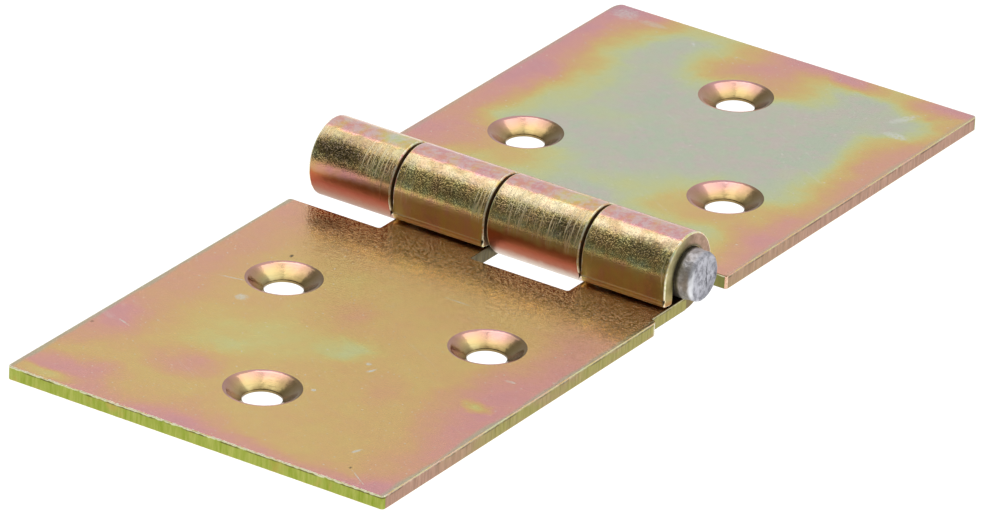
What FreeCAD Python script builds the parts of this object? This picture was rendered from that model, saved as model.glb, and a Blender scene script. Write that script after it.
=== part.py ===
import FreeCAD, Part
import math
import os

os.makedirs("parts", exist_ok=True)

# A back flap hinge: two stamped and rolled steel leaves on one plain pin.
# Lengths are in millimetres. The pin runs along X. The front leaf reaches towards -Y,
# the rear leaf towards +Y, and the undersides of both lie on z = 0.
# The origin is on that plane, below the pin, at the middle of the leaf width.

# Leaf blank
leaf_width = 60.0
leaf_length = 73.5
sheet_thickness = 2.0
sharp_corner_radius = 0.5
blunt_corner_radius = 2.0

# Barrel
pin_diameter = 7.2
pin_play = 0.08
knuckle_pitch = 15.35
knuckle_end_gap = 0.5
end_knuckle_inset = 0.95
slot_clearance = 2.92
slot_corner_radius = 0.4
tail_gap = 0.2
tail_rollover_height = 1.1
tail_rollover_depth = 0.5
tail_inner_break = 0.45
knuckle_edge_break = 0.25

# Pin
pin_start_overhang = 0.3
pin_overhang = 1.8
pin_edge_round = 0.45

# Screw holes
screw_hole_diameter = 5.4
countersink_diameter = 10.1
screw_hole_land = 0.4
screw_circle_diameter = 38.0
screw_circle_distance = 38.8
screw_hole_count = 3

# Sizes that follow
bore_radius = pin_diameter / 2 + pin_play
knuckle_radius = bore_radius + sheet_thickness
slot_edge = knuckle_radius + slot_clearance
half_width = leaf_width / 2
end_gap_share = knuckle_end_gap / 2

along_pin = FreeCAD.Vector(1, 0, 0)
upright = FreeCAD.Vector(0, 0, 1)
origin = FreeCAD.Vector(0, 0, 0)

# Stretches of the pin that the front leaf's two knuckles take up
inner_knuckle = (-knuckle_pitch + end_gap_share, -end_gap_share)
end_knuckle = (knuckle_pitch + end_gap_share, half_width - end_knuckle_inset)


def corner_points(before, corner, after, radius):
    """Start, middle and end of the arc that rounds one corner of an outline."""
    arrive = (corner - before).normalize()
    leave = (after - corner).normalize()
    turn = arrive.getAngle(leave)
    set_back = radius * math.tan(turn / 2)
    inward = (leave - arrive).normalize()
    centre = corner + inward * (radius / math.cos(turn / 2))
    middle = centre - inward * radius
    return corner - arrive * set_back, middle, corner + leave * set_back


def rounded_face(corners):
    """A flat face on z = 0 from (x, y, radius) corners taken in order."""
    count = len(corners)
    places = [FreeCAD.Vector(x, y, 0) for x, y, radius in corners]
    stretches = []
    for index, (x, y, radius) in enumerate(corners):
        if radius > 0:
            before = places[index - 1]
            after = places[(index + 1) % count]
            stretches.append(corner_points(before, places[index], after, radius))
        else:
            stretches.append((places[index], None, places[index]))
    edges = []
    for index, (start, middle, end) in enumerate(stretches):
        if middle:
            edges.append(Part.Arc(start, middle, end).toShape())
        next_start = stretches[(index + 1) % count][0]
        edges.append(Part.LineSegment(end, next_start).toShape())
    return Part.Face(Part.Wire(edges))


def leaf_sheet(right_corner_radius):
    """The flat part of the front leaf, with two tabs that reach to below the pin."""
    tab_a, tab_b = inner_knuckle
    tab_c, tab_d = end_knuckle
    corners = [
        (-half_width, -leaf_length, sharp_corner_radius),
        (half_width, -leaf_length, right_corner_radius),
        (half_width, -slot_edge, sharp_corner_radius),
        (tab_d, -slot_edge, 0),
        (tab_d, 0, 0),
        (tab_c, 0, 0),
        (tab_c, -slot_edge, slot_corner_radius),
        (tab_b, -slot_edge, slot_corner_radius),
        (tab_b, 0, 0),
        (tab_a, 0, 0),
        (tab_a, -slot_edge, slot_corner_radius),
        (-half_width, -slot_edge, sharp_corner_radius),
    ]
    return rounded_face(corners).extrude(upright * sheet_thickness)


def knuckle_profile():
    """The rolled tab seen along the pin: under it, up behind, over it and down in front."""
    def at(y, z):
        return FreeCAD.Vector(0, y, z)

    axis = knuckle_radius
    tail_end = sheet_thickness + tail_gap
    diagonal = math.sqrt(0.5)
    outside_behind = at(knuckle_radius * diagonal, axis + knuckle_radius * diagonal)
    inside_behind = at(bore_radius * diagonal, axis + bore_radius * diagonal)
    tail = [
        at(-knuckle_radius, axis),
        at(-knuckle_radius, tail_end + tail_rollover_height),
        at(-knuckle_radius + tail_rollover_depth, tail_end),
        at(-bore_radius - tail_inner_break, tail_end),
        at(-bore_radius, tail_end + tail_inner_break),
        at(-bore_radius, axis),
    ]
    edges = [Part.Arc(at(0, 0), outside_behind, tail[0]).toShape()]
    for start, end in zip(tail, tail[1:]):
        edges.append(Part.LineSegment(start, end).toShape())
    edges.append(Part.Arc(tail[-1], inside_behind, at(0, sheet_thickness)).toShape())
    edges.append(Part.LineSegment(at(0, sheet_thickness), at(0, 0)).toShape())
    return Part.Face(Part.Wire(edges))


def rolled_knuckle(stretch):
    """One knuckle over a stretch of the pin, with its outer rims broken."""
    start, end = stretch
    knuckle = knuckle_profile().extrude(along_pin * (end - start))
    knuckle.translate(along_pin * start)
    rims = []
    for edge in knuckle.Edges:
        on_end = edge.BoundBox.XLength < 0.001
        round_rim = isinstance(edge.Curve, Part.Circle)
        if on_end and round_rim and edge.Curve.Radius > bore_radius + sheet_thickness / 2:
            rims.append(edge)
    return knuckle.makeChamfer(knuckle_edge_break, rims)


def screw_hole(x, y):
    """The cutter for one countersunk hole, open at both faces of the sheet."""
    land_radius = screw_hole_diameter / 2
    sink_radius = countersink_diameter / 2
    through = Part.makeCylinder(land_radius, sheet_thickness, origin, upright)
    sink_depth = sheet_thickness - screw_hole_land
    sink = Part.makeCone(land_radius, sink_radius, sink_depth, upright * screw_hole_land)
    cutter = through.fuse(sink)
    cutter.translate(FreeCAD.Vector(x, y, 0))
    return cutter


def screw_hole_places():
    """Centres of the holes: one towards the outer edge, the others on the same circle."""
    circle_radius = screw_circle_diameter / 2
    places = []
    for index in range(screw_hole_count):
        angle = -math.pi / 2 + index * 2 * math.pi / screw_hole_count
        x = circle_radius * math.cos(angle)
        y = -screw_circle_distance + circle_radius * math.sin(angle)
        places.append((x, y))
    return places


def make_leaf(right_corner_radius):
    """A leaf in the front leaf's place: sheet, two rolled knuckles and screw holes, as one solid."""
    leaf = leaf_sheet(right_corner_radius)
    for stretch in (inner_knuckle, end_knuckle):
        leaf = leaf.fuse(rolled_knuckle(stretch))
    for x, y in screw_hole_places():
        leaf = leaf.cut(screw_hole(x, y))
    return leaf.removeSplitter()


def make_pin():
    """The plain pin, cut from rod and rounded at both ends."""
    start = -half_width - pin_start_overhang
    end = half_width + pin_overhang
    foot = FreeCAD.Vector(start, 0, knuckle_radius)
    pin = Part.makeCylinder(pin_diameter / 2, end - start, foot, along_pin)
    rims = [edge for edge in pin.Edges if edge.BoundBox.XLength < 0.001]
    return pin.makeFillet(pin_edge_round, rims)


# Only the rear leaf has a blunt outer corner. It is the left one once the leaf is turned.
front_leaf = make_leaf(sharp_corner_radius)
rear_leaf = make_leaf(blunt_corner_radius)
rear_leaf.rotate(origin, upright, 180)

front_leaf.exportStep("parts/front_leaf.step")
rear_leaf.exportStep("parts/rear_leaf.step")
make_pin().exportStep("parts/hinge_pin.step")
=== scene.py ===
import math

import bmesh
import bpy
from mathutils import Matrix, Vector


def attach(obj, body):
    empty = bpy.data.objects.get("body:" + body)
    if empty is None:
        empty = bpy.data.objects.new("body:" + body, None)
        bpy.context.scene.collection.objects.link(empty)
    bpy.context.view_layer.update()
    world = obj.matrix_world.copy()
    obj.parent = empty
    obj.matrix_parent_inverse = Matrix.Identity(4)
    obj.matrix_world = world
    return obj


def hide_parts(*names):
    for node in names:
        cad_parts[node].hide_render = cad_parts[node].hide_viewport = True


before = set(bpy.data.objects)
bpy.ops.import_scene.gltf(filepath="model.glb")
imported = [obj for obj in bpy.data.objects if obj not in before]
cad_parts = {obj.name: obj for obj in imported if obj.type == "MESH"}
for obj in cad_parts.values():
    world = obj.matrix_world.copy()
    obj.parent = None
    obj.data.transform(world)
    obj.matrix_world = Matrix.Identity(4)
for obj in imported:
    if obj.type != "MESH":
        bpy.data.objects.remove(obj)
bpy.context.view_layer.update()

# Sizes of the hinge, in metres. The pin runs along X and z = 0 is the screw face.
MM = 0.001
TURN = 2 * math.pi
leaf_width = 60.0 * MM
leaf_length = 73.5 * MM
half_width = leaf_width / 2
sheet = 2.0 * MM
pin_radius = 3.6 * MM
pin_ends = (-30.3 * MM, 31.8 * MM)
bore_radius = 3.68 * MM
knuckle_radius = bore_radius + sheet
inner_knuckle = (-15.1 * MM, -0.25 * MM)
end_knuckle = (15.6 * MM, 29.05 * MM)
knuckles = (inner_knuckle, end_knuckle)
knuckle_ends = inner_knuckle + end_knuckle
slot_edge = knuckle_radius + 2.92 * MM
tail_end = sheet + 0.2 * MM
tail_rollover_height = 1.1 * MM
tail_rollover_depth = 0.14 * MM
tail_lip_rise = 0.25 * MM
hole_radius = 2.7 * MM
sink_radius = 5.05 * MM
land_height = 0.4 * MM
screw_circle_radius = 19.0 * MM
screw_circle_distance = 38.8 * MM
screw_hole_count = 3

# Rounded edges: a radius or width in metres, and the number of steps it is made of
slot_corner = (0.4 * MM, 5)
sharp_corner = (0.5 * MM, 4)
blunt_corner = (2.0 * MM, 8)
left_step_corner = (0.5 * MM, 5)
right_step_corner = (0.9 * MM, 5)
tail_inner_break = (0.45 * MM, 2)
tail_line = (0.14 * MM, 3)
knuckle_rim = (0.22 * MM, 4)
sink_rim = (0.3 * MM, 5)
pin_rim = (0.7 * MM, 5)
worn_edge = (0.08 * MM, 3)
sharpest_smooth_edge = math.radians(30)

# Steps of the round shapes, and the rings that let the pin's end be dented. Dents are given
# by the vertices that they are on, the size of their grain and their depth.
roll_steps = 72
circle_steps = 96
end_rings = 12
neck_rings = 6
neck_ring_step = 0.3 * MM
dents = (("torn", 1.3 * MM, 0.45 * MM), ("neck", 2.2 * MM, 0.16 * MM))

closeness = 0.02 * MM
weld_distance = 0.001 * MM
cutter_overshoot = 1.0 * MM

# How much of a face's normal points up, or along the pin
lies_flat = 0.95
stands_up = 0.3
looks_along_pin = 0.5

# Places on the barrel, in millimetres
axis_height = knuckle_radius / MM
barrel_end = end_knuckle[1] / MM
first_knuckle_end = (-15.6, -15.2)
all_round = 60

# Painted highlights as bright lines on a tail, by height and strength, and the film on a roll, by
# degrees from its top
painted_tail_highlights = ((3.35, 0.7), (2.85, 0.5))
middle_films = ((24, 0.42), (60, 0.44), (70, 0.29), (78, 0.48), (150, 0.55))

# The colours of the plating's film, from none to the thickest, and of the painted shade below the barrel
film_colours = (
    (0.00, (0.745, 0.705, 0.600)),
    (0.14, (0.680, 0.760, 0.480)),
    (0.28, (0.770, 0.780, 0.340)),
    (0.40, (0.860, 0.680, 0.230)),
    (0.53, (0.890, 0.570, 0.220)),
    (0.66, (0.900, 0.480, 0.300)),
    (0.80, (0.910, 0.420, 0.400)),
    (1.00, (0.740, 0.380, 0.460)),
)
underside_shade_colours = (
    (0.00, (0.55, 0.27, 0.09)),
    (0.30, (0.50, 0.13, 0.05)),
    (0.55, (0.36, 0.07, 0.03)),
    (1.00, (0.36, 0.13, 0.07)),
)
# The way across the plan towards each countersink's darker painted-shade flank
painted_shade_way = (0.84, 0.54, 0)
pale_chip = (0.86, 0.88, 0.78)
dark_chip = (0.14, 0.10, 0.04)
usual_noise = (0.3, 0.7)
nowhere = (0, 0, 0)
half_turn = 180

# Stage. Lengths are in metres unless the name says otherwise.
floor_height = -80 * MM
floor_size = 6
floor_glow = 0.98
camera_place = (649.74 * MM, -1017.80 * MM, 589.45 * MM)
camera_aim = (-0.56 * MM, -2.92 * MM, 0)
camera_roll = math.radians(2.728)
lens_in_millimetres = 362.65
sensor_in_millimetres = 36

# The finishes of a leaf, in the order of its material slots
FACE, WORN, END, SIDE, SLOT, RING, SINK, KNUCKLE = range(8)


def start_editing(piece):
    """Opens one piece for editing with nothing selected."""
    bpy.ops.object.select_all(action="DESELECT")
    piece.select_set(True)
    bpy.context.view_layer.objects.active = piece
    bpy.ops.object.mode_set(mode="EDIT")
    bpy.ops.mesh.select_all(action="DESELECT")


def stop_editing():
    bpy.ops.object.mode_set(mode="OBJECT")


def pick(piece, kind, wanted):
    """Selects, in edit mode, the vertices, edges or faces that wanted says yes to."""
    bpy.ops.mesh.select_all(action="DESELECT")
    bpy.ops.mesh.select_mode(type={"verts": "VERT", "edges": "EDGE", "faces": "FACE"}[kind])
    mesh = bmesh.from_edit_mesh(piece.data)
    found = 0
    for element in getattr(mesh, kind):
        if wanted(element):
            element.select_set(True)
            found += 1
    mesh.select_flush_mode()
    bmesh.update_edit_mesh(piece.data)
    return found


def near(value, target):
    return abs(value - target) < closeness


def middle(edge):
    return (edge.verts[0].co + edge.verts[1].co) / 2


def on_a_knuckle(x):
    return any(start - closeness < x < end + closeness for start, end in knuckles)


def apply_modifier(piece, kind, **settings):
    """Adds one modifier with its settings and applies it."""
    bpy.ops.object.select_all(action="DESELECT")
    piece.select_set(True)
    bpy.context.view_layer.objects.active = piece
    modifier = piece.modifiers.new(kind.lower(), kind)
    for name, value in settings.items():
        setattr(modifier, name, value)
    bpy.ops.object.modifier_apply(modifier=modifier.name)


def flat_blank(name):
    """The flat stretch of the front leaf as one skin, cut across at the knuckle ends."""
    bpy.ops.object.select_all(action="DESELECT")
    bpy.ops.mesh.primitive_plane_add(size=1)
    piece = bpy.context.active_object
    piece.name = name
    flat_length = leaf_length - slot_edge
    start_editing(piece)
    bpy.ops.mesh.select_all(action="SELECT")
    bpy.ops.transform.resize(value=(leaf_width, flat_length, 1))
    bpy.ops.transform.translate(value=(0, -slot_edge - flat_length / 2, 0))
    for x in knuckle_ends:
        bpy.ops.mesh.select_all(action="SELECT")
        bpy.ops.mesh.bisect(plane_co=(x, 0, 0), plane_no=(1, 0, 0))
    return piece


def roll_tabs(piece):
    """Draws the two tabs out to below the pin, rolls them round it and runs the tails down."""
    def tab_end(y, z):
        return lambda edge: (near(middle(edge).y, y) and near(middle(edge).z, z)
                             and near(edge.verts[0].co.y, edge.verts[1].co.y)
                             and on_a_knuckle(middle(edge).x)
                             and edge.is_boundary and not near(edge.calc_length(), 0))

    def draw_out(y, z):
        bpy.ops.mesh.extrude_edges_move(TRANSFORM_OT_translate={"value": (0, y, z)})

    pick(piece, "edges", tab_end(-slot_edge, 0))
    draw_out(slot_edge, 0)
    pick(piece, "edges", tab_end(0, 0))
    bpy.ops.mesh.spin(steps=roll_steps, angle=-0.75 * TURN,
                      center=(0, 0, knuckle_radius), axis=(1, 0, 0))
    pick(piece, "edges", tab_end(-knuckle_radius, knuckle_radius))
    draw_out(0, tail_end + tail_rollover_height - knuckle_radius)
    draw_out(0, -tail_rollover_height)
    bpy.ops.mesh.select_all(action="SELECT")
    bpy.ops.mesh.remove_doubles(threshold=weld_distance)
    bpy.ops.mesh.normals_make_consistent(inside=False)
    mesh = bmesh.from_edit_mesh(piece.data)
    mesh.faces.ensure_lookup_table()
    widest = max(mesh.faces, key=lambda face: face.calc_area())
    if widest.normal.z < 0:
        bpy.ops.mesh.flip_normals()


def thicken(piece):
    """Gives the skin its sheet thickness, on the upper side and inside the rolls."""
    stop_editing()
    apply_modifier(piece, "SOLIDIFY", thickness=sheet, offset=1, use_even_offset=True)
    start_editing(piece)
    bpy.ops.mesh.select_all(action="SELECT")
    bpy.ops.mesh.normals_make_consistent(inside=False)


def bevel(rounding, finish=-1):
    """Bevels the picked edges, and may give the bevel a finish of its own."""
    width, steps = rounding
    bpy.ops.mesh.bevel(offset=width, segments=steps, affect="EDGES", clamp_overlap=False,
                       material=finish)


def round_edges(piece, wanted, rounding, finish=-1):
    """Bevels the edges that wanted picks."""
    if not pick(piece, "edges", wanted):
        raise ValueError("no edge found to round")
    bevel(rounding, finish)


def upright_at(x, y):
    """Picks the edge that stands through the sheet at one corner of the plan."""
    return lambda edge: (near(middle(edge).x, x) and near(middle(edge).y, y)
                         and near(edge.verts[0].co.y, edge.verts[1].co.y)
                         and near(edge.calc_length(), sheet))


def shape_corners(piece, right_corner):
    """Rounds the plan: slot corners, outer corners, and the corners of the steps by the barrel."""
    for x in (inner_knuckle[0], inner_knuckle[1], end_knuckle[0]):
        round_edges(piece, upright_at(x, -slot_edge), slot_corner)
    for x, corner, step_corner in ((-half_width, sharp_corner, left_step_corner),
                                   (half_width, right_corner, right_step_corner)):
        round_edges(piece, upright_at(x, -leaf_length), corner)
        round_edges(piece, upright_at(x, -slot_edge), step_corner)


def shape_tails(piece):
    """Leans the last stretch of each tail inwards and breaks its inner lip, as the shear left it."""
    def along(y, z):
        return lambda edge: (near(middle(edge).y, y) and near(middle(edge).z, z)
                             and near(edge.verts[0].co.z, edge.verts[1].co.z))

    pick(piece, "edges", along(-knuckle_radius, tail_end))
    bpy.ops.transform.translate(value=(0, tail_rollover_depth, tail_lip_rise))
    round_edges(piece, along(-bore_radius, tail_end), tail_inner_break)
    round_edges(piece, along(-knuckle_radius, tail_end + tail_rollover_height), tail_line, WORN)


def break_rims(piece):
    """Bevels the outer rim of both knuckles at each end, from under the pin round to the tail."""
    def on_the_skin(vert):
        place = vert.co
        on_the_roll = near(math.hypot(place.y, place.z - knuckle_radius), knuckle_radius)
        on_the_tail = (place.z < knuckle_radius and place.y < -bore_radius - sheet / 2
                       and place.y > -knuckle_radius - closeness and place.z > sheet)
        return on_the_roll or on_the_tail

    def rim(edge):
        ends = edge.verts
        across = near(ends[0].co.x, ends[1].co.x)
        at_end = any(near(middle(edge).x, x) for x in knuckle_ends)
        return across and at_end and on_the_skin(ends[0]) and on_the_skin(ends[1])

    round_edges(piece, rim, knuckle_rim, WORN)


def screw_cutter(x, y):
    """One countersink cutter: a cone that is open above the sheet, with a straight tip."""
    slope = (sink_radius - hole_radius) / (sheet - land_height)
    top_radius = sink_radius + slope * cutter_overshoot
    depth = sheet + cutter_overshoot - land_height
    bpy.ops.object.select_all(action="DESELECT")
    bpy.ops.mesh.primitive_cone_add(vertices=circle_steps, radius1=hole_radius, radius2=top_radius,
                                    depth=depth, location=(x, y, land_height + depth / 2))
    cutter = bpy.context.active_object
    start_editing(cutter)
    pick(cutter, "faces", lambda face: face.normal.z < -lies_flat)
    tip = -land_height - cutter_overshoot
    bpy.ops.mesh.extrude_region_move(TRANSFORM_OT_translate={"value": (0, 0, tip)})
    stop_editing()
    return cutter


def screw_hole_places():
    """Centres of the front leaf's screw holes, on one circle and the first towards the outer end."""
    places = []
    for index in range(screw_hole_count):
        angle = -TURN / 4 + index * TURN / screw_hole_count
        x = screw_circle_radius * math.cos(angle)
        y = -screw_circle_distance + screw_circle_radius * math.sin(angle)
        places.append((x, y))
    return places


def cut_screw_holes(piece):
    """Cuts the three countersunk holes, then removes the cutters."""
    stop_editing()
    for x, y in screw_hole_places():
        cutter = screw_cutter(x, y)
        apply_modifier(piece, "BOOLEAN", operation="DIFFERENCE", solver="EXACT", object=cutter)
        bpy.data.objects.remove(cutter)
    start_editing(piece)


def round_sinks(piece):
    """Rounds the upper rim of each countersink, where the punch drew the sheet in."""
    def on_a_rim(vert):
        return near(vert.co.z, sheet) and any(near(math.hypot(vert.co.x - x, vert.co.y - y), sink_radius)
                                              for x, y in screw_hole_places())

    round_edges(piece, lambda edge: all(on_a_rim(vert) for vert in edge.verts), sink_rim, SINK)


def break_sharp_edges():
    """Bevels every edge that is still sharp; these bevels are where the plating is worn."""
    bpy.ops.mesh.select_mode(type="EDGE")
    bpy.ops.mesh.select_all(action="DESELECT")
    bpy.ops.mesh.edges_select_sharp(sharpness=sharpest_smooth_edge)
    bevel(worn_edge, WORN)


def give_finish(piece, slot, wanted):
    """Puts the faces that wanted picks into one of the piece's material slots."""
    pick(piece, "faces", wanted)
    piece.active_material_index = slot
    bpy.ops.object.material_slot_assign()


def finish_faces(piece):
    """Sorts a front leaf's faces: sheared end, sides, slots, knuckle ends, knuckles and countersinks."""
    def upright(face):
        return face.material_index != WORN and abs(face.normal.z) < stands_up

    def on_barrel(face):
        place = face.calc_center_median()
        flat_tab = abs(face.normal.z) > lies_flat and place.y < 0 and place.z < sheet + closeness
        return place.y > -slot_edge + slot_corner[0] and not flat_tab

    def in_screw_hole(face):
        reach = sink_radius + sink_rim[0] + closeness
        return any(all(math.hypot(vert.co.x - x, vert.co.y - y) < reach for vert in face.verts)
                   for x, y in screw_hole_places())

    def on_a_tab_side(face):
        place = face.calc_center_median()
        return place.z < sheet and -slot_edge < place.y < 0 and abs(face.normal.x) > looks_along_pin

    def knuckle_end(face):
        return face.material_index != WORN and on_barrel(face) and abs(face.normal.x) > looks_along_pin

    def on_a_long_side(face):
        return upright(face) and near(abs(face.calc_center_median().x), half_width)

    def on_an_end(face):
        y = face.calc_center_median().y
        by_an_end = y < -leaf_length + blunt_corner[0] or y > -slot_edge - closeness
        return upright(face) and not on_barrel(face) and by_an_end

    give_finish(piece, SIDE, on_a_long_side)
    give_finish(piece, END, on_an_end)
    give_finish(piece, KNUCKLE, lambda face: face.material_index != WORN and on_barrel(face)
                and abs(face.normal.x) < looks_along_pin)
    give_finish(piece, RING, knuckle_end)
    give_finish(piece, SLOT, lambda face: upright(face) and on_a_tab_side(face))
    give_finish(piece, SIDE, lambda face: upright(face) and on_a_tab_side(face)
                and near(face.calc_center_median().x, end_knuckle[1]))
    give_finish(piece, SINK, in_screw_hole)


def smooth_by_area(piece):
    """Smooth shading that keeps the large faces flat."""
    stop_editing()
    bpy.ops.object.shade_smooth()
    apply_modifier(piece, "WEIGHTED_NORMAL", mode="FACE_AREA", weight=80, keep_sharp=True)


def make_leaf(name, right_corner, finishes):
    """One leaf in the front leaf's place."""
    piece = flat_blank(name)
    for finish in finishes:
        piece.data.materials.append(finish)
    roll_tabs(piece)
    thicken(piece)
    shape_tails(piece)
    break_rims(piece)
    shape_corners(piece, right_corner)
    cut_screw_holes(piece)
    round_sinks(piece)
    break_sharp_edges()
    finish_faces(piece)
    smooth_by_area(piece)
    return piece


def turn_half_round(piece):
    """Turns a leaf about the upright axis through the middle of the hinge."""
    start_editing(piece)
    bpy.ops.mesh.select_all(action="SELECT")
    bpy.ops.transform.rotate(value=TURN / 2, orient_axis="Z", center_override=(0, 0, 0))
    stop_editing()


# Nodes. Positions in the materials are in millimetres.

class Wire:
    """What comes out of a node. Sums and products of wires add the nodes that work them out."""

    def __init__(self, socket):
        self.socket = socket
        self.tree = socket.id_data

    def maths(self, operation, *values):
        """One maths node, for a number or a vector, that this wire goes into first."""
        kind = "ShaderNodeMath" if self.socket.type == "VALUE" else "ShaderNodeVectorMath"
        node = add_node(kind, dict(enumerate((self, *values))), operation=operation)
        is_number = kind == "ShaderNodeMath" or operation in ("LENGTH", "DOT_PRODUCT")
        return Wire(node.outputs["Value" if is_number else "Vector"])

    def __add__(self, other):
        return self.maths("ADD", other)

    def __sub__(self, other):
        return self.maths("SUBTRACT", other)

    def __rsub__(self, other):
        return self * -1.0 + other

    def __mul__(self, other):
        return self.maths("MULTIPLY", other)

    def __truediv__(self, other):
        return self.maths("DIVIDE", other)

    def __abs__(self):
        return self.maths("ABSOLUTE")

    def parts(self, letters="XYZ"):
        """Its X, Y and Z, or those of them that are asked for."""
        outputs = add_node("ShaderNodeSeparateXYZ", {"Vector": self}).outputs
        return [Wire(outputs[letter]) for letter in letters]


def feed(target, value):
    """Gives an input a wire or a fixed value. Colours are written without their alpha."""
    if isinstance(value, Wire):
        value.tree.links.new(value.socket, target)
    else:
        target.default_value = (*value, 1) if target.type == "RGBA" else value


def add_node(kind, inputs, **settings):
    """Adds one node to the tree that the wires among its inputs are in."""
    tree = next(value.tree for value in inputs.values() if isinstance(value, Wire))
    node = tree.nodes.new(kind)
    for name, value in settings.items():
        setattr(node, name, value)
    for name, value in inputs.items():
        feed(node.inputs[name], value)
    return node


def vector(x, y, z):
    return Wire(add_node("ShaderNodeCombineXYZ", {"X": x, "Y": y, "Z": z}).outputs["Vector"])


def turn_flat(place, angle):
    """Turns a place about the upright axis."""
    node = add_node("ShaderNodeVectorRotate", {"Vector": place, "Angle": angle}, rotation_type="Z_AXIS")
    return Wire(node.outputs["Vector"])


def stretch(value, low, high, to_low=0.0, to_high=1.0, soft=False):
    """Turns low to high into to_low to to_high, and stops at both ends."""
    inputs = {"Value": value, "From Min": low, "From Max": high, "To Min": to_low, "To Max": to_high}
    node = add_node("ShaderNodeMapRange", inputs, clamp=True,
                    interpolation_type="SMOOTHSTEP" if soft else "LINEAR")
    return Wire(node.outputs["Result"])


def fade(value, low, high, start=1.0, soft=False):
    """Is start up to low, and falls to nothing at high."""
    return stretch(value, low, high, start, 0.0, soft)


def held(value):
    """Keeps a value between 0 and 1."""
    return stretch(value, 0.0, 1.0)


def mix(amount, first, second):
    """A blend of two colours."""
    return Wire(add_node("ShaderNodeMix", {0: amount, 6: first, 7: second}, data_type="RGBA").outputs[2])


def noise(place, scale, detail=2.0, roughness=0.5, output="Fac"):
    node = add_node("ShaderNodeTexNoise",
                    {"Vector": place, "Scale": scale, "Detail": detail, "Roughness": roughness})
    return Wire(node.outputs[output])


def clouds(place, scale, detail=2.0, roughness=0.5, to_low=0.0, to_high=1.0):
    """Noise whose usual range runs from to_low to to_high."""
    return stretch(noise(place, scale, detail, roughness), *usual_noise, to_low, to_high)


def ramp(value, stops, blend="LINEAR"):
    """Turns a value from 0 to 1 into a colour. Each stop is a position and a colour."""
    node = add_node("ShaderNodeValToRGB", {"Fac": value})
    node.color_ramp.interpolation = blend
    elements = node.color_ramp.elements
    for index, (position, colour) in enumerate(stops):
        element = elements[index] if index < 2 else elements.new(position)
        element.position = position
        element.color = (*colour, 1)
    return Wire(node.outputs["Color"])


def new_group(name, inputs, outputs):
    """A node group and its inputs as wires. Inputs come with a starting value, outputs with a kind."""
    tree = bpy.data.node_groups.new(name, "ShaderNodeTree")
    for label, value in inputs.items():
        kind = "NodeSocketFloat" if isinstance(value, float) else "NodeSocketVector"
        tree.interface.new_socket(name=label, in_out="INPUT", socket_type=kind).default_value = value
    for label, kind in outputs.items():
        tree.interface.new_socket(name=label, in_out="OUTPUT", socket_type="NodeSocket" + kind)
    entry = tree.nodes.new("NodeGroupInput").outputs
    return tree, [Wire(entry[label]) for label in inputs]


def finish_group(tree, results):
    """Feeds the outputs of a node group."""
    way_out = tree.nodes.new("NodeGroupOutput")
    for label, wire in results.items():
        feed(way_out.inputs[label], wire)
    return tree


def use_group(group, inputs):
    """Places a node group with its own values and gives its outputs by name."""
    node = add_node("ShaderNodeGroup", inputs, node_tree=group)
    return {socket.name: Wire(socket) for socket in node.outputs}


def make_soft_patch():
    """A soft round or long patch: 1 in the middle, 0 outside."""
    tree, (place, centre, size, turn) = new_group(
        "soft patch", {"Place": nowhere, "Centre": nowhere, "Size": (1, 1, 1), "Turn": 0.0},
        {"Mask": "Float"})
    reach = (turn_flat(place - centre, turn) * (1, 1, 0) / size).maths("LENGTH")
    return finish_group(tree, {"Mask": fade(reach, 0.0, 1.0, soft=True)})


def make_plating_tint():
    """The colour of the passivated plating: Film is how thick the film is, from 0 to 1."""
    tree, (film,) = new_group("plating tint", {"Film": 0.5}, {"Colour": "Color"})
    return finish_group(tree, {"Colour": ramp(film, film_colours, "B_SPLINE")})


def make_satin_grain():
    """The grain of the rolled and plated sheet: a soft peel with steep little pits in it."""
    tree, (place, pit_depth, peel_depth) = new_group(
        "satin grain", {"Place": nowhere, "Pit Depth": 0.02, "Peel Depth": 0.01},
        {"Height": "Float", "Pits": "Float"})
    pits = stretch(noise(place, 4.4, 2.0, 0.6), 0.46, 0.68, soft=True)
    height = noise(place, 1.3) * peel_depth + pits * pit_depth
    return finish_group(tree, {"Height": height, "Pits": pits})


def make_barrel_angle():
    """How far round the barrel a place is, in degrees: 0 on top, 90 in front and behind."""
    tree, (place,) = new_group("barrel angle", {"Place": nowhere}, {"Angle": "Float"})
    y, z = place.parts("YZ")
    return finish_group(tree, {"Angle": abs(y).maths("ARCTAN2", z - axis_height).maths("DEGREES")})


def make_ring_scratches():
    """Scratches round the barrel: Lines are single and thin, Streaks are fine and everywhere."""
    tree, (place, angle) = new_group("ring scratches", {"Place": nowhere, "Angle": 0.0},
                                     {"Lines": "Float", "Streaks": "Float"})
    x, y = place.parts("XY")
    side = y.maths("SIGN")
    lines = stretch(noise(vector(x * 3.6, angle / 50.0, side), 1.0), 0.58, 0.64)
    streaks = stretch(noise(vector(x * 5.0, angle / 9.0, side), 1.0), 0.35, 0.70)
    return finish_group(tree, {"Lines": lines, "Streaks": streaks})


def make_hairlines():
    """Thin broken scratch lines that run along X after a turn."""
    tree, (place, turn, spacing, length, amount) = new_group(
        "hairlines", {"Place": nowhere, "Turn": 0.0, "Spacing": 2.0, "Length": 20.0, "Amount": 0.5},
        {"Mask": "Float"})
    turned = turn_flat(place, turn)
    ridge = abs(noise(turned / vector(length, spacing, 1.0), 1.0, 1.0) - 0.5)
    broken = stretch(noise(turned, 0.25, 1.0), 1.0 - amount, 1.0)
    return finish_group(tree, {"Mask": stretch(ridge, 0.006, 0.0) * broken})


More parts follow.
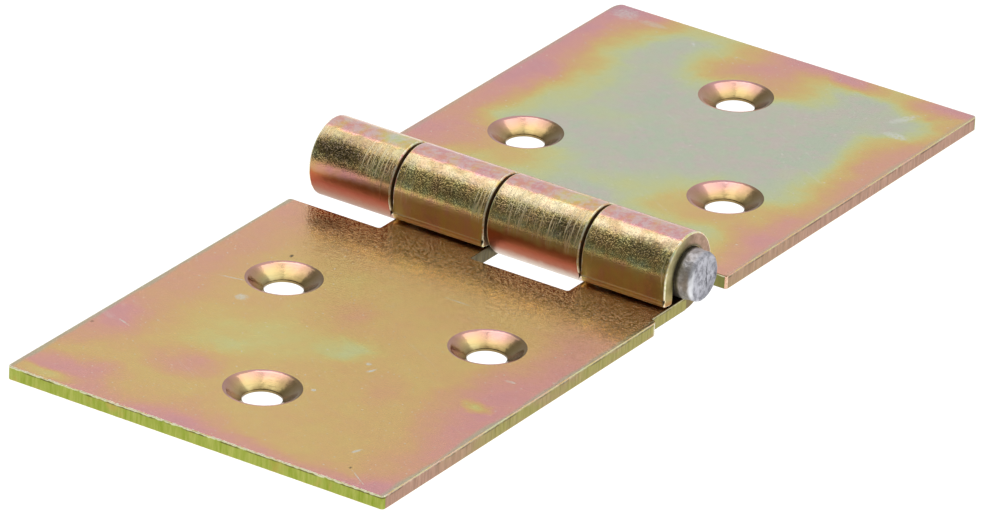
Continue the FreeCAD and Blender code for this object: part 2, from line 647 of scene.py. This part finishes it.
def make_edge_reach():
    """How far a place is from the leaf's three outer edges, in millimetres."""
    tree, (place,) = new_group("edge reach", {"Place": nowhere},
                               {"Side": "Float", "End": "Float", "Nearest": "Float"})
    x, y = place.parts("XY")
    side = half_width / MM - abs(x)
    end = leaf_length / MM - abs(y)
    return finish_group(tree, {"Side": side, "End": end, "Nearest": side.maths("MINIMUM", end)})


soft_patch = make_soft_patch()
plating_tint = make_plating_tint()
satin_grain = make_satin_grain()
barrel_angle = make_barrel_angle()
ring_scratches = make_ring_scratches()
hairlines = make_hairlines()
edge_reach = make_edge_reach()


def new_metal(name):
    """A metal, and the place on the piece in millimetres as a wire in its nodes."""
    material = bpy.data.materials.new(name)
    material.use_nodes = True
    coordinates = material.node_tree.nodes.new("ShaderNodeTexCoord").outputs["Object"]
    return material, Wire(coordinates) * (1 / MM, 1 / MM, 1 / MM)


def finish_metal(material, colour, roughness, height=None):
    """Feeds the metal's shader. The height of the bumps is in millimetres."""
    shader = material.node_tree.nodes["Principled BSDF"]
    feed(shader.inputs["Metallic"], 1.0)
    feed(shader.inputs["Base Color"], colour)
    feed(shader.inputs["Roughness"], roughness)
    if height:
        bump = add_node("ShaderNodeBump", {"Height": height, "Strength": 1.0, "Distance": MM})
        feed(shader.inputs["Normal"], Wire(bump.outputs["Normal"]))
    return material


def tinted(film):
    """The plating's colour at a thickness of its film."""
    return use_group(plating_tint, {"Film": film})["Colour"]


def warp(place, amount, scale):
    """Moves a place about a little, so that patches get uneven outlines."""
    drift = noise(place, scale, output="Color") - (0.5, 0.5, 0.5)
    return place + drift * (amount, amount, 0)


def patch(place, x, y, half_x, half_y, turn=0):
    """How far a place is inside a soft patch. The turn is in degrees."""
    return use_group(soft_patch, {"Place": place, "Centre": (x, y, 0), "Size": (half_x, half_y, 1),
                                  "Turn": math.radians(turn)})["Mask"]


def add_patches(place, film, patches):
    """Adds soft patches of thicker or thinner film: centre, half sizes, turn and amount."""
    for *shape, amount in patches:
        film = patch(place, *shape) * amount + film
    return film


def add_marks(place, colour, marks):
    """Adds small chips and scratches: centre, half sizes, turn, and pale above 0 or dark below."""
    ragged = clouds(place, 2.2, 3.0, 0.7, to_low=0.3, to_high=1.6)
    for *shape, amount in marks:
        strength = stretch(patch(place, *shape) * ragged, 0.25, 0.8, 0.0, abs(amount))
        colour = mix(strength, colour, pale_chip if amount > 0 else dark_chip)
    return colour


def leaf_face_metal(name, middle_film, side_film, end_film, painted_reflection, worn_share, patches, marks):
    """The flat face of a leaf: the film is thicker towards the outer edges. The painted_reflection
    argument says how strong the painted reflection of the barrel is, a warm tint with a dark mottle,
    which ends with the barrel's left end."""
    material, place = new_metal(name)
    x, y, z = place.parts()
    loose = warp(warp(place, 12.0, 0.06), 3.2, 0.33)
    reach = use_group(edge_reach, {"Place": loose})
    side = fade(reach["Side"], 1.0, 13.0, soft=True) * side_film
    end = fade(reach["End"], 0.0, 6.0, soft=True) * end_film
    film = add_patches(loose, side + end + middle_film, patches)
    film = (noise(place, 0.22, 3.0) - 0.5) * 0.16 + film
    film = held((noise(place, 1.1) - 0.5) * 0.05 + film)
    bluish = stretch(noise(place, 0.30, 4.0, 0.65), 0.40, 0.60)
    thin = mix(bluish, (0.73, 0.64, 0.59), (0.60, 0.71, 0.54))
    colour = mix(fade(film, 0.0, 0.20, 0.7), tinted(film), thin)

    # Painted reflection of the barrel: a warm tint and a dark mottle on the leaf near the barrel, ending
    # at its left end.
    from_barrel = abs(y)
    in_barrel_reflection = stretch(from_barrel * -0.64 + x, -33.5, -30.5, soft=True) * stretch(z, 1.0, 1.9)
    reflection_tint = fade(from_barrel, 11.0, 23.0, painted_reflection, soft=True) * in_barrel_reflection
    colour = mix(reflection_tint, colour, (1.0, 0.64, 0.31))
    reflection_mottle = stretch(noise(place, 1.7, 4.0, 0.75), 0.49, 0.57) * in_barrel_reflection
    reflection_mottle = reflection_mottle * fade(from_barrel, 10.0, 23.0, painted_reflection, soft=True)
    reflection_mottle = reflection_mottle * stretch(from_barrel, 8.6, 12.5, 0.35, 1.0)
    colour = mix(reflection_mottle, colour, (0.36, 0.26, 0.12))

    exact = use_group(edge_reach, {"Place": place})
    rolled_over = fade(noise(place, 0.16) * -1.6 + exact["Side"], -0.6, 0.2, worn_share, soft=True)
    colour = mix(rolled_over, colour, (0.56, 0.58, 0.40))
    scratches = use_group(hairlines, {"Place": place, "Turn": 0.5, "Spacing": 3.0, "Length": 26.0,
                                      "Amount": 0.55})["Mask"]
    colour = mix(scratches * 0.35, colour, (0.90, 0.88, 0.80))
    flecks = stretch(noise(place, 2.0, 1.0), 0.70, 0.76, 0.0, 0.6)
    colour = add_marks(place, mix(flecks, colour, (0.88, 0.86, 0.74)), marks)
    ragged = noise(place, 2.4, 3.0, 0.6) * -1.3 + exact["Nearest"]
    rubbed = fade(ragged, -0.66, -0.46, worn_share) * stretch(exact["End"], 0.6, 1.4, 1.0, 0.4)
    colour = mix(rubbed, colour, (0.95, 0.92, 0.80))
    grain = use_group(satin_grain, {"Place": place, "Pit Depth": 0.016, "Peel Depth": 0.010})
    height = grain["Height"] * stretch(from_barrel, 11.0, 20.0, 1.6, 1.0)
    satin = clouds(place, 0.5, 3.0, to_low=0.12, to_high=0.18)
    return finish_metal(material, colour, satin, height)


def worn_metal(name, side_share, end_share):
    """Bare bright zinc on the edges, broken by tinted film. The shares are for the side and the end."""
    material, place = new_metal(name)
    y, z = place.parts("YZ")
    from_barrel = abs(y)
    worn = stretch(from_barrel - leaf_length / MM, -1.5, -0.5, side_share, end_share)
    worn = worn.maths("MAXIMUM", fade(from_barrel, 6.2, 8.2))
    worn = worn * stretch(noise(place, 1.2, 3.0, 0.7), 0.40, 0.56)
    colour = mix(worn, tinted(clouds(place, 0.3, to_low=0.1, to_high=0.8)), (0.98, 0.92, 0.70))
    # Painted shade: the worn edges of the tabs low under the barrel are darkened.
    painted_shade_under_barrel = fade(from_barrel, 8.7, 9.2, 0.85) * fade(z, 2.05, 2.15)
    colour = mix(painted_shade_under_barrel, colour, (0.16, 0.10, 0.04))
    return finish_metal(material, colour, roughness=0.5)


def sheared_metal(name, colour_of, burr_share):
    """A sheared side: colour_of gives its colours, over which go the bright burr and a dark line."""
    material, place = new_metal(name)
    z = place.parts("Z")[0]
    streaks = clouds(place * (1.8, 1.8, 0.22), 1.0, 3.0, 0.65)
    dark_line = fade(abs(z - 1.70), 0.05, 0.14, 0.8) * stretch(noise(place, 0.35, 3.0), 0.40, 0.55)
    colour = mix(dark_line, colour_of(place, streaks), (0.10, 0.07, 0.025))
    burr = stretch(noise(place, 1.6) * 0.5 + z, 1.97, 2.09, 0.0, burr_share)
    colour = mix(burr, colour, (0.90, 0.86, 0.66))
    return finish_metal(material, colour, roughness=0.38, height=streaks * 0.04)


def end_colours(place, streaks):
    """Yellow green with a few rusty places, and painted shade on the faces that stand in the slots."""
    y = place.parts("Y")[0]
    green = mix(streaks, (0.27, 0.34, 0.035), (0.44, 0.47, 0.11))
    rust = stretch(noise(place * (0.5, 0.5, 0.3), 1.0), 0.58, 0.74, 0.0, 0.5)
    colour = mix(rust, green, (0.55, 0.36, 0.10))
    # Painted shade: darker where the sheared ends stand in the slots.
    return mix(fade(abs(y), 10.0, 12.0, 0.75), colour, (0.14, 0.13, 0.055))


def side_colours(low, high, most):
    """Pinkish tan that turns olive from low to high along the side, by at most the given share."""
    def colours(place, streaks):
        y = place.parts("Y")[0]
        tan = mix(streaks, (0.33, 0.19, 0.13), (0.52, 0.31, 0.22))
        olive = mix(streaks, (0.25, 0.235, 0.045), (0.40, 0.37, 0.10))
        patchy = stretch(noise(place * (0.1, 0.13, 0.4), 1.0), 0.35, 0.55, most * 0.5, most)
        return mix(stretch(y, low, high) * patchy, tan, olive)
    return colours


def slot_metal():
    """The sides of the slots and of the tabs near the barrel: matt, and painted dark olive as shade."""
    material, place = new_metal("slot side")
    streaks = noise(place * (1.8, 1.8, 0.3), 1.0, 3.0, 0.6)
    # Painted shade: a very dark olive for these narrow walls.
    colour = mix(stretch(streaks, *usual_noise), (0.065, 0.052, 0.022), (0.17, 0.135, 0.06))
    return finish_metal(material, colour, roughness=0.42, height=streaks * 0.08)


def ring_metal():
    """The ends of the knuckles: pale green and matt, pinkish on top, with painted shade round the bore,
    low on the tail side and in the gaps between knuckles.
    """
    material, place = new_metal("knuckle end")
    x, y, z = place.parts()
    cloud = clouds(place, 1.1, 3.0, 0.6)
    pale = mix(cloud, (0.82, 0.73, 0.37), (0.96, 0.88, 0.50))
    olive = mix(cloud, (0.42, 0.36, 0.16), (0.62, 0.54, 0.28))
    pinkish = mix(cloud, (0.32, 0.20, 0.13), (0.58, 0.39, 0.29))
    colour = mix(stretch(y, -4.2, -2.4), pale, olive)
    colour = mix(stretch(y, -1.6, 0.6), colour, pinkish)
    crown = fade(abs(y + 0.3), 0.6, 1.8, 0.5)
    colour = mix(crown, colour, (0.24, 0.16, 0.10))
    # Painted shade: the lower part of the ring on the tail side is darkened to olive.
    on_tail = fade(z, 4.9, 6.9, 0.9) * fade(y, -3.2, -2.4)
    colour = mix(on_tail, colour, mix(cloud, (0.31, 0.25, 0.085), (0.42, 0.34, 0.13)))
    lip = mix(stretch(y, -3.0, -2.0), (0.46, 0.22, 0.06), (0.20, 0.16, 0.05))
    colour = mix(fade(z, 2.6, 3.4, 0.8), colour, lip)
    radius = ((place - (0, 0, axis_height)) * (0, 1, 1)).maths("LENGTH")
    # Painted shade in the crevice round the pin's bore.
    painted_shade_by_bore = fade(radius - bore_radius / MM, 0.12, 0.5, 0.8)
    colour = mix(painted_shade_by_bore, colour, (0.10, 0.11, 0.04))
    # Painted shade: knuckle ends that face into the gaps between knuckles are darker brown.
    painted_shade_in_gap = fade(x - barrel_end, -0.2, -0.1, 0.85)
    colour = mix(painted_shade_in_gap, colour, (0.50, 0.33, 0.20))
    return finish_metal(material, colour, roughness=0.5, height=noise(place, 1.8) * 0.06)


def sink_metal():
    """The countersinks: turned in fine rings, plated brightly and a little clouded, shaded in the
    hollow, with painted shade on the flanks.
    """
    material, place = new_metal("countersink")
    leaf_side = place.parts("Y")[0].maths("SIGN") * -1.0
    reach = 0.0
    sideways = 0.0
    for x, y in screw_hole_places():
        offset = place * leaf_side - (x / MM, y / MM, 0)
        distance = (offset * (1, 1, 0)).maths("LENGTH")
        here = distance.maths("LESS_THAN", 2 * sink_radius / MM)
        reach = distance * here + reach
        sideways = offset.maths("DOT_PRODUCT", painted_shade_way) * here + sideways
    film = clouds(place, 0.16, to_low=-0.15, to_high=0.20) + stretch(reach, 3.0, 5.2, 0.38, 0.80)
    colour = mix(0.35, tinted(film), (0.60, 0.46, 0.34))
    shade = fade(reach, 3.1, 4.0, 0.55)
    colour = mix(shade, colour, (0.42, 0.31, 0.12))
    rings = noise(vector(noise(place, 0.8, 1.0) * 1.2 + reach * 3.2, 0.0, 0.0), 1.0)
    grooves = stretch(rings, 0.58, 0.68, 0.0, 0.25)
    colour = mix(grooves, colour, (0.30, 0.20, 0.08))
    # Painted shade on the countersink's flanks: dark towards painted_shade_way, warm brown on the other
    # side.
    flank = noise(place, 0.6) * 0.4 + sideways / reach * leaf_side - 0.2
    painted_dark_flank = stretch(flank, 0.35, 0.90, 0.0, 0.92)
    colour = mix(painted_dark_flank, colour, (0.17, 0.12, 0.045))
    painted_warm_flank = fade(flank, -0.95, -0.65, 0.5)
    colour = mix(painted_warm_flank, colour, (0.30, 0.18, 0.10))
    # Darker in a ring just above the through-hole.
    dark_ring_by_hole = fade(noise(place, 0.5, 3.0, 0.6) + reach, 3.2, 3.7, 0.7)
    colour = mix(dark_ring_by_hole, colour, (0.16, 0.10, 0.035))
    satin = stretch(rings, *usual_noise, 0.16, 0.24)
    return finish_metal(material, colour, satin, rings * 0.018 + noise(place, 0.9) * 0.04)


def knuckle_metal(name, tail_side, top_film, bottom_film, underside_shade_share, dark_band, glints,
                  patches, marks, scratched, rings):
    """The rolled barrel: tinted on top, a pale band that is partly a painted highlight, olive and grainy
    below it with a painted dark reflection, scratched round, with painted highlights along the tail and,
    by the share given, painted shade underneath.
    Scratched stretches have a middle, a half length and an amount. Rings are single scratches
    with a place, a half width and the degrees at which they start and end."""
    material, place = new_metal(name)
    x, y, z = place.parts()
    angle = use_group(barrel_angle, {"Place": place})["Angle"]
    uneven = noise(place, 0.8) * 10.0 + angle - 5.0
    films = ((0, top_film), (19, top_film), *middle_films, (176, bottom_film))
    film = ramp(uneven / half_turn, [(degrees / half_turn, (level,) * 3) for degrees, level in films])
    cloud = noise(place * (0.5, 0.25, 0.25), 1.0, 3.0) - 0.5
    film = cloud * stretch(angle, 30.0, 50.0, 0.9, 0.6) + film
    colour = tinted(add_patches(place, film, patches))

    past_first = stretch(x, *first_knuckle_end)
    rubbed_highlight_cream = mix(stretch(noise(place, 0.5, 3.0, 0.6), 0.38, 0.6), (0.42, 0.31, 0.20), (0.66, 0.54, 0.40))
    rubbed_highlight_cream = mix(past_first, mix(0.68, rubbed_highlight_cream, (0.28, 0.21, 0.12)), rubbed_highlight_cream)
    # Pale band: plating rubbed paler, and a painted highlight, in the band where the overhead lamp's
    # highlight lies.
    pale = stretch(uneven, 19.0, 23.0) * fade(uneven, 37.0, 44.0)
    colour = mix(pale * 0.75, colour, rubbed_highlight_cream)
    blotches = stretch(noise(place * (0.55, 0.9, 0.9), 1.0, 3.0, 0.6), 0.35, 0.65)
    # Dark band: a blotchy mottle, made stronger as a painted dark reflection in the band below the
    # highlight.
    dark = stretch(angle, 34.0, 46.0) * fade(angle, 62.0, 70.0, 0.5)
    colour = mix(dark * blotches, colour, dark_band)
    haze = fade(angle, 15.0, 22.0, 0.5) * stretch(noise(place, 0.7, 3.0, 0.7), 0.4, 0.6)
    colour = add_marks(place, mix(haze, colour, (0.88, 0.80, 0.80)), marks)

    scratches = use_group(ring_scratches, {"Place": place, "Angle": angle})
    grain = use_group(satin_grain, {"Place": place, "Pit Depth": 0.030, "Peel Depth": 0.014})
    rough = stretch(angle, 16.0, 26.0) * stretch(angle, 66.0, 76.0, 1.0, 0.2)
    rough = rough * stretch(blotches, 0.0, 1.0, 0.7, 1.2) * stretch(angle, 30.0, 44.0, 0.55, 1.0)
    speckle = grain["Pits"] * scratches["Streaks"] * rough
    colour = mix(speckle * 0.6, colour, glints)
    zone = 0.0
    for centre, half, amount in scratched:
        zone = patch(place, centre, 0, half, all_round) * amount + zone
    zone = zone * stretch(angle, 17.0, 28.0) * stretch(angle, 66.0, 98.0, 1.0, 0.1)
    lines = scratches["Lines"] * held(zone)
    for centre, half, low, high in rings:
        across = fade(abs(x - centre), half / 3, half * 0.7)
        ring = across * stretch(angle, low, low + 8.0) * fade(angle, high - 12.0, high)
        lines = lines.maths("MAXIMUM", ring)
    # Painted highlights: two bright lines along the tail's front, joined to the scratches.
    on_tail = stretch(y * tail_side, 5.2, 5.4)
    for height, strength in painted_tail_highlights:
        lines = lines.maths("MAXIMUM", fade(abs(z - height), 0.05, 0.14, strength) * on_tail)
    colour = mix(lines * 0.9, colour, (1.0, 0.88, 0.58))

    # Painted shade under the barrel, standing in for the dim reflection of the shaded floor in the
    # slots; further down it turns pale, except on the first knuckle.
    painted_underside_shade = ramp(stretch(uneven, 84.0, 124.0), underside_shade_colours)
    last = mix(past_first, (0.36, 0.17, 0.09), (0.66, 0.55, 0.46))
    painted_underside_shade = mix(stretch(uneven, 117.0, 138.0), painted_underside_shade, last)
    underside = fade(uneven, 148.0, 172.0, underside_shade_share)
    flushed = stretch(angle, 64.0, 72.0) * underside * stretch(x, *first_knuckle_end, 0.55, 0.30)
    colour = mix(flushed, colour, (0.36, 0.14, 0.09))
    colour = mix(stretch(uneven, 84.0, 92.0) * underside, colour, painted_underside_shade)

    satin = clouds(place, 0.6, to_low=0.15, to_high=0.21) + stretch(angle, 74.0, 84.0, 0.0, 0.16)
    rough = rough * stretch(lines, 0.0, 1.0, 1.0, 0.4)
    height = (scratches["Streaks"] * 0.020 + grain["Height"]) * rough + lines * 0.02
    return finish_metal(material, colour, lines * 0.5 + satin, height)


def pin_metal():
    """The pin's grey zinc: brownish and blotched round it, with painted shade at its root and on its
    lower half, streaked by the shear at its ends, with a painted highlight on the front of the end's
    rim.
    """
    material, place = new_metal("pin zinc")
    x, y, z = place.parts()
    cloud = noise(place, 1.3, 4.0, 0.65)
    colour = mix(stretch(cloud, *usual_noise), (0.38, 0.36, 0.37), (0.84, 0.82, 0.86))
    warm = stretch(noise(place, 0.5), 0.45, 0.65, 0.0, 0.4)
    colour = mix(warm, colour, (0.50, 0.42, 0.36))
    # Painted shade: the pin is darkened where it leaves the knuckle.
    painted_shade_at_root = fade(x - barrel_end, 0.3, 0.8, 0.9, soft=True)
    colour = mix(painted_shade_at_root, colour, (0.06, 0.055, 0.03))
    # Painted shade on the pin's lower half.
    low = fade(z, 3.6, 6.2, 0.6)
    colour = mix(low, colour, (0.20, 0.18, 0.16))
    tears = noise(place * (0.8, 1.3, 1.0), 1.0, 5.0, 0.7)
    torn = mix(stretch(tears, 0.38, 0.56), (0.26, 0.26, 0.29), (0.56, 0.56, 0.61))
    wander = noise(place, 0.9, 3.0) * 1.6 + y - 1.7
    gouge = fade(abs(wander), 0.08, 0.22, 0.85) * fade(abs(z - axis_height), 1.2, 2.0)
    torn = mix(gouge, torn, (0.05, 0.05, 0.06))
    # Painted highlight on the front of the end's rim.
    painted_rim_highlight = fade(y, -2.9, -2.2, 0.8)
    torn = mix(painted_rim_highlight, torn, (0.85, 0.86, 0.88))
    on_end = stretch(x - pin_ends[1] / MM, -0.8, -0.4)
    satin = stretch(cloud, *usual_noise, 0.55, 0.4)
    return finish_metal(material, mix(on_end, colour, torn), satin, tears * 0.12 + cloud * 0.12)


def make_pin(name, finish):
    """The pin: a cut rod with rounded rims, whose ends keep the torn, dented face of the shear."""
    start, end = pin_ends
    bpy.ops.object.select_all(action="DESELECT")
    bpy.ops.mesh.primitive_cylinder_add(vertices=circle_steps, radius=pin_radius, depth=end - start,
                                        location=((start + end) / 2, 0, knuckle_radius),
                                        rotation=(0, TURN / 4, 0))
    bpy.ops.object.transform_apply(location=True, rotation=True, scale=True)
    piece = bpy.context.active_object
    piece.name = name
    piece.data.materials.append(finish)
    start_editing(piece)

    round_edges(piece, lambda edge: near(edge.verts[0].co.x, edge.verts[1].co.x), pin_rim)
    for _ in range(end_rings):
        pick(piece, "faces", lambda face: len(face.verts) > 4)
        bpy.ops.mesh.inset(thickness=(pin_radius - pin_rim[0]) / (end_rings + 1))
    for step in range(neck_rings):
        bpy.ops.mesh.select_all(action="SELECT")
        place = end - pin_rim[0] - (step + 1) * neck_ring_step
        bpy.ops.mesh.bisect(plane_co=(place, 0, 0), plane_no=(1, 0, 0))
    for group, wanted in (
            ("torn", lambda vert: vert.co.x > end - closeness or vert.co.x < start + closeness),
            ("neck", lambda vert: vert.co.x > end - neck_rings * neck_ring_step)):
        bpy.ops.object.vertex_group_add()
        piece.vertex_groups.active.name = group
        pick(piece, "verts", wanted)
        bpy.ops.object.vertex_group_assign()
    stop_editing()
    for group, grain, depth in dents:
        texture = bpy.data.textures.new(group + " dents", "CLOUDS")
        texture.noise_scale = grain
        texture.noise_depth = 3
        apply_modifier(piece, "DISPLACE", texture=texture, texture_coords="LOCAL",
                       vertex_group=group, mid_level=0.0, strength=-depth)
    bpy.ops.object.shade_smooth()
    return piece


front_face = leaf_face_metal(
    "front leaf face", middle_film=0.50, side_film=0.16, end_film=0.22, painted_reflection=0.75, worn_share=0.75,
    patches=(
        (-10, -25, 9, 7, 0, -0.05),
        (-8, -45, 18, 8, -10, -0.13),
        (3, -41, 7, 4, -15, -0.20),
        (-13, -50, 8, 4, -40, -0.10),
        (-26, -63, 8, 5, -20, -0.14),
        (-28, -52, 8, 6, 0, 0.18),
        (-22, -68, 10, 5, 0, 0.20),
        (-26, -72, 7, 3, -20, -0.45),
        (-12, -58, 8, 6, 0, 0.22),
        (-3, -33, 8, 6, 30, 0.10),
        (-4, -71, 12, 7, 0, 0.17),
        (28, -42, 9, 30, 0, 0.15),
        (13, -50, 7, 6, 0, 0.10),
        (26.3, -45.2, 3.0, 2.6, 0, -0.42),
    ),
    marks=(
        (-19.5, -23.2, 0.5, 0.9, -20, -0.9),
        (22.0, -69.4, 0.4, 0.5, 0, -0.8),
        (-17.6, -37.6, 1.6, 1.6, 30, 0.6),
        (7.0, -43.4, 0.8, 0.7, 0, 0.8),
        (8.4, -44.8, 0.5, 1.4, 25, 0.9),
        (5.6, -54.2, 0.7, 0.6, 0, 0.8),
        (20.0, -65.0, 0.5, 1.5, 20, 0.8),
        (24.6, -36.0, 1.6, 0.6, 0, 0.45),
        (-22.0, -33.6, 3.6, 0.25, -12, 0.7),
        (-25.5, -53.5, 2.4, 0.3, 20, 0.6),
        (-28.9, -56.0, 0.5, 0.5, 0, -0.6),
        (6.0, -20.6, 4.0, 0.3, 0, 0.5),
        (24.5, -71.2, 4.0, 0.2, 35, 0.6),
        (-21.5, -11.5, 5.0, 4.5, 0, -0.4),
        (27.5, -15.5, 5.5, 4.0, 0, -0.35),
    ))
rear_face = leaf_face_metal(
    "rear leaf face", middle_film=0.03, side_film=0.66, end_film=0.30, painted_reflection=0.0, worn_share=0.4,
    patches=(
        (2, 72, 13, 20, 0, 0.55),
        (-5, 67, 11, 8, 0, 0.32),
        (12, 73, 9, 6, 0, 0.40),
        (-22, 48, 14, 18, 0, 0.34),
        (-2, 62, 16, 8, 0, 0.30),
        (-22, 66, 9, 8, 0, 0.16),
        (-27, 64, 8, 12, 0, 0.14),
        (16, 24, 18, 14, 20, 0.50),
        (-16, 22, 18, 12, 0, 0.45),
        (26, 65, 8, 9, 0, -0.50),
        (22, 50, 10, 14, 0, -0.20),
        (25, 36, 7, 9, 0, -0.22),
        (24, 25, 6, 6, 0, -0.20),
        (0, 25, 7, 5, 0, 0.12),
        (-10, 40, 7, 7, 0, 0.12),
        (5, 60, 8, 5, 0, 0.14),
    ),
    marks=(
        (22.5, 66.0, 1.4, 4.5, 25, 0.7),
        (24.5, 60.8, 3.4, 1.6, 0, 0.7),
        (-27.0, 71.0, 3.5, 3.0, 0, 0.4),
        (-22.0, 70.5, 4.0, 1.5, 0, 0.3),
        (-16.8, 17.4, 0.5, 0.5, 0, -0.9),
        (-14.0, 68.5, 1.4, 0.5, 40, 0.5),
    ))
front_knuckles = knuckle_metal(
    "front leaf knuckles", tail_side=-1.0, top_film=0.74, bottom_film=0.55, underside_shade_share=0.0,
    dark_band=(0.20, 0.16, 0.075), glints=(0.88, 0.73, 0.48),
    patches=((-8, -5.9, 9, 1.2, 0, 0.14),),
    marks=(
        (24.8, -3.9, 5.5, 1.8, 0, -0.75),
        (28, -2.8, 2.5, 1.0, 0, -0.4),
        (-5, -4.9, 9, 0.9, 0, -0.3),
        (27.5, -5.8, 3.0, 0.8, 0, -0.2),
    ),
    scratched=((-13.8, 2.2, 0.8), (-1.2, 2.2, 1.0), (16.4, 1.8, 0.9), (28.4, 1.4, 0.9)),
    rings=((-2.3, 0.14, 40, 70), (-1.7, 0.12, 34, 72), (-1.1, 0.14, 30, 90)))
rear_knuckles = knuckle_metal(
    "rear leaf knuckles", tail_side=1.0, top_film=0.70, bottom_film=0.08, underside_shade_share=0.95,
    dark_band=(0.23, 0.15, 0.11), glints=(0.96, 0.74, 0.62),
    patches=(
        (-18, 0, 5, 3.5, 0, -0.5),
        (11, 0, 5, 3.5, 0, -0.35),
        (-23, -5.9, 9, 1.1, 0, 0.42),
    ),
    marks=(
        (-25, -4.3, 8, 2.0, 0, -0.9),
        (-23, -2.8, 7, 1.2, 0, -0.3),
        (12, -4.5, 5, 1.7, 0, -0.7),
    ),
    scratched=(
        (-19.0, 4.6, 1.0),
        (-29.0, 2.4, 1.1),
        (4.6, 4.5, 1.5),
        (10.0, 5.0, 1.0),
        (13.6, 2.4, 1.4),
    ),
    rings=(
        (-20.8, 0.16, 30, 68),
        (-20.0, 0.13, 26, 72),
        (-19.3, 0.12, 24, 66),
        (-18.4, 0.15, 26, 76),
        (-17.8, 0.12, 30, 70),
        (-17.2, 0.16, 26, 108),
        (-16.5, 0.10, 30, 70),
        (3.4, 0.12, 26, 62),
        (4.2, 0.10, 24, 70),
        (5.3, 0.12, 30, 66),
        (12.6, 0.12, 24, 60),
        (13.4, 0.12, 22, 92),
        (14.3, 0.12, 24, 84),
    ))
front_worn = worn_metal("front leaf worn edge", side_share=0.45, end_share=1.0)
rear_worn = worn_metal("rear leaf worn edge", side_share=0.3, end_share=0.35)
end_green = sheared_metal("sheared end", end_colours, burr_share=0.65)
front_side = sheared_metal("front leaf side", side_colours(-62.0, -46.0, most=0.9), burr_share=0.3)
rear_side = sheared_metal("rear leaf side", side_colours(30.0, 10.0, most=0.4), burr_share=0.15)
slot_side = slot_metal()
knuckle_end = ring_metal()
sink = sink_metal()

front = make_leaf("front_leaf_plated", sharp_corner, (
    front_face, front_worn, end_green, front_side, slot_side, knuckle_end, sink, front_knuckles))
rear = make_leaf("rear_leaf_plated", blunt_corner, (
    rear_face, rear_worn, end_green, rear_side, slot_side, knuckle_end, sink, rear_knuckles))
turn_half_round(rear)
pin = make_pin("pin_rod", pin_metal())

for piece, node, body, slot in (
        (front, "front_leaf", "front_leaf_and_pin", "leaf_plating"),
        (rear, "rear_leaf", "rear_leaf", "leaf_plating"),
        (pin, "hinge_pin", "front_leaf_and_pin", "pin_steel")):
    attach(piece, body)
    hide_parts(node)


def add_floor():
    """A white table that glows a little, as in a light box. It lies below the leaf that hangs down."""
    bpy.ops.object.select_all(action="DESELECT")
    bpy.ops.mesh.primitive_plane_add(size=floor_size, location=(0, 0, floor_height))
    bpy.ops.object.transform_apply(location=True, rotation=True, scale=True)
    floor = bpy.context.active_object
    floor.name = "floor"
    material = bpy.data.materials.new("floor")
    material.use_nodes = True
    nodes = material.node_tree.nodes
    shader = nodes["Principled BSDF"]
    feed(shader.inputs["Base Color"], (0.2, 0.2, 0.2))
    feed(shader.inputs["Roughness"], 0.9)
    feed(shader.inputs["Emission Color"], (1, 1, 1))
    feed(shader.inputs["Emission Strength"], floor_glow)
    from_below = Wire(nodes.new("ShaderNodeNewGeometry").outputs["Backfacing"])
    white = Wire(shader.outputs["BSDF"])
    clear = Wire(nodes.new("ShaderNodeBsdfTransparent").outputs["BSDF"])
    one_sided = add_node("ShaderNodeMixShader", {0: from_below, 1: white, 2: clear})
    feed(nodes["Material Output"].inputs["Surface"], Wire(one_sided.outputs["Shader"]))
    floor.data.materials.append(material)


def aim_at(thing, place, aim):
    """Puts a light or the camera at a place and turns it towards the aim."""
    thing.location = place
    thing.rotation_euler = (Vector(aim) - Vector(place)).to_track_quat("-Z", "Y").to_euler()
    bpy.context.scene.collection.objects.link(thing)


def add_softbox(name, size, radiance, place, aim):
    """A soft light panel. Radiance is how bright its face looks."""
    data = bpy.data.lights.new(name, "AREA")
    data.shape = "RECTANGLE"
    data.size, data.size_y = size
    data.energy = radiance * math.pi * size[0] * size[1]
    aim_at(bpy.data.objects.new(name, data), place, aim)


def add_room():
    """The room's walls: light behind the hinge, dim on the camera's side."""
    world = bpy.data.worlds.new("studio room")
    world.use_nodes = True
    nodes = world.node_tree.nodes
    behind = Wire(nodes.new("ShaderNodeTexCoord").outputs["Generated"]).parts("Y")[0]
    background = nodes["Background"]
    feed(background.inputs["Strength"], stretch(behind, -0.45, 0.4, 0.10, 0.68, soft=True))
    feed(background.inputs["Color"], (1, 1, 1))
    bpy.context.scene.world = world


def add_camera():
    data = bpy.data.cameras.new("camera")
    data.lens = lens_in_millimetres
    data.sensor_width = sensor_in_millimetres
    data.clip_start = 0.1
    camera = bpy.data.objects.new("camera", data)
    aim_at(camera, camera_place, camera_aim)
    camera.rotation_euler.rotate_axis("Z", camera_roll)
    bpy.context.scene.camera = camera


add_floor()
add_softbox("overhead softbox", size=(1.1, 0.72), radiance=1.3,
            place=(-0.5, 0, 1.0), aim=(-0.5, 0, 0))
add_softbox("right softbox", size=(0.7, 1.1), radiance=0.85,
            place=(0.45, 0.15, 1.0), aim=(0.45, 0.15, 0))
add_room()
bpy.context.scene.view_settings.view_transform = "Standard"
add_camera()
